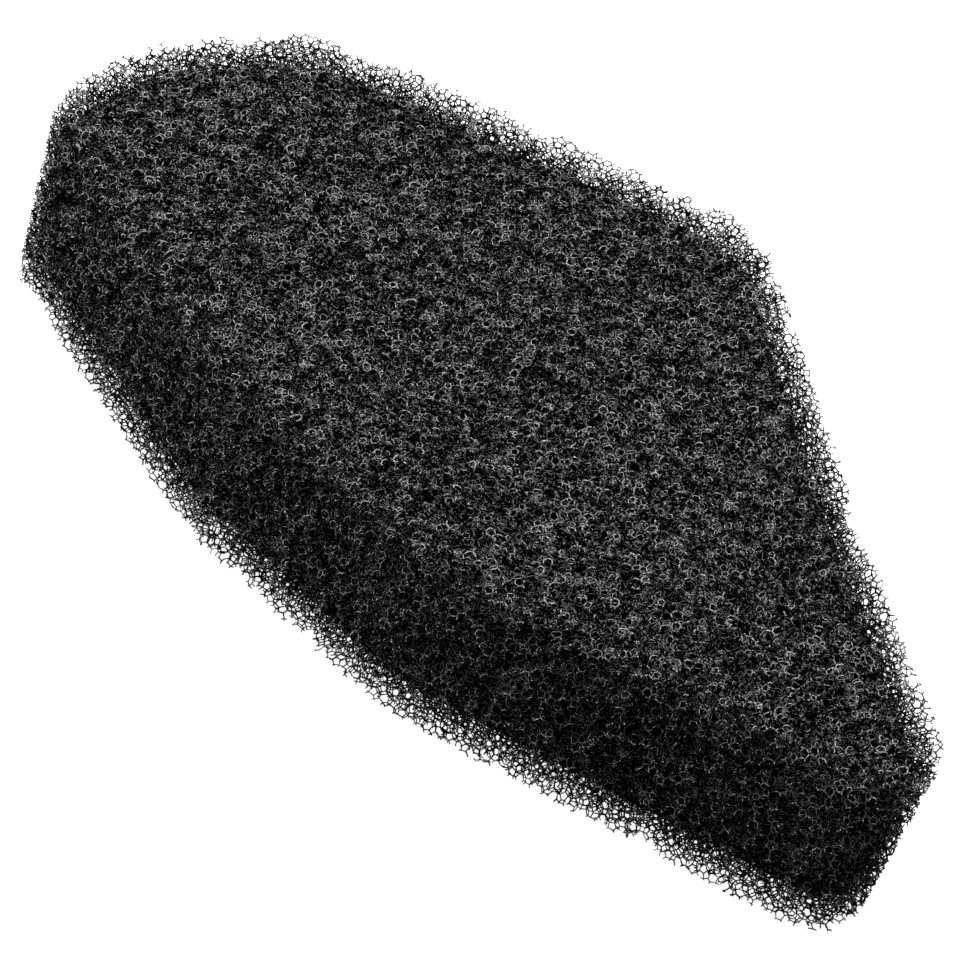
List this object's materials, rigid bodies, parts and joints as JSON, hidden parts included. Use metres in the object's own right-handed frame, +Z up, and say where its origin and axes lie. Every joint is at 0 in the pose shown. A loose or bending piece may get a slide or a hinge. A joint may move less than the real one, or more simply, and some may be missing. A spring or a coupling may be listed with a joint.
{
  "type": "filter foam block",
  "caption": "Slab of black coarse open-cell foam with a slanted end and a rounded nose; water passes through it and dirt stays in its pores.",
  "frame": {"origin": "middle of the block's outline box, on the lower face", "axes": "+Z up through the block's thickness, +X along the straight back edge towards the slanted end, +Y towards the back edge"},
  "size_m": [0.2326, 0.1446, 0.05],
  "materials": {
    "foam": "matte"
  },
  "bodies": {
    "root": {"foam_block": "foam"}
  },
  "joints": []
}
